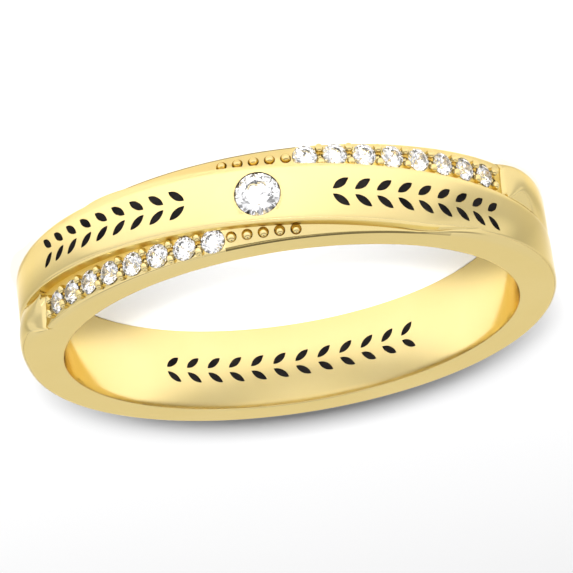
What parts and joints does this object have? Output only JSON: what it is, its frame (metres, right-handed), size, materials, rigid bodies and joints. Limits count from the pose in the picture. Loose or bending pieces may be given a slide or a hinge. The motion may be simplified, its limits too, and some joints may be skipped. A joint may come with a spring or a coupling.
{
  "type": "crossover ring",
  "caption": "Slim crossover finger ring with a small centre stone on a diagonal plate between two stone-set strands, and inlaid enamel leaf sprigs.",
  "frame": {"origin": "centre of the finger hole, half way along the band's width", "axes": "+Z along the finger, with the ring lying on its -Z side face; the centre stone faces -Y"},
  "size_m": [0.0202, 0.0206, 0.0034],
  "materials": {
    "gold": "polished pale yellow gold",
    "stone": "clear, cut and polished",
    "enamel": "black enamel"
  },
  "bodies": {
    "root": {"band": "gold", "centre_stone": "stone", "upper_stone_1": "stone", "upper_stone_2": "stone", "upper_stone_3": "stone", "upper_stone_4": "stone", "upper_stone_5": "stone", "upper_stone_6": "stone", "upper_stone_7": "stone", "upper_stone_8": "stone", "lower_stone_1": "stone", "lower_stone_2": "stone", "lower_stone_3": "stone", "lower_stone_4": "stone", "lower_stone_5": "stone", "lower_stone_6": "stone", "lower_stone_7": "stone", "lower_stone_8": "stone", "leaves_left": "enamel", "leaves_right": "enamel", "leaves_inside": "enamel"}
  },
  "joints": []
}
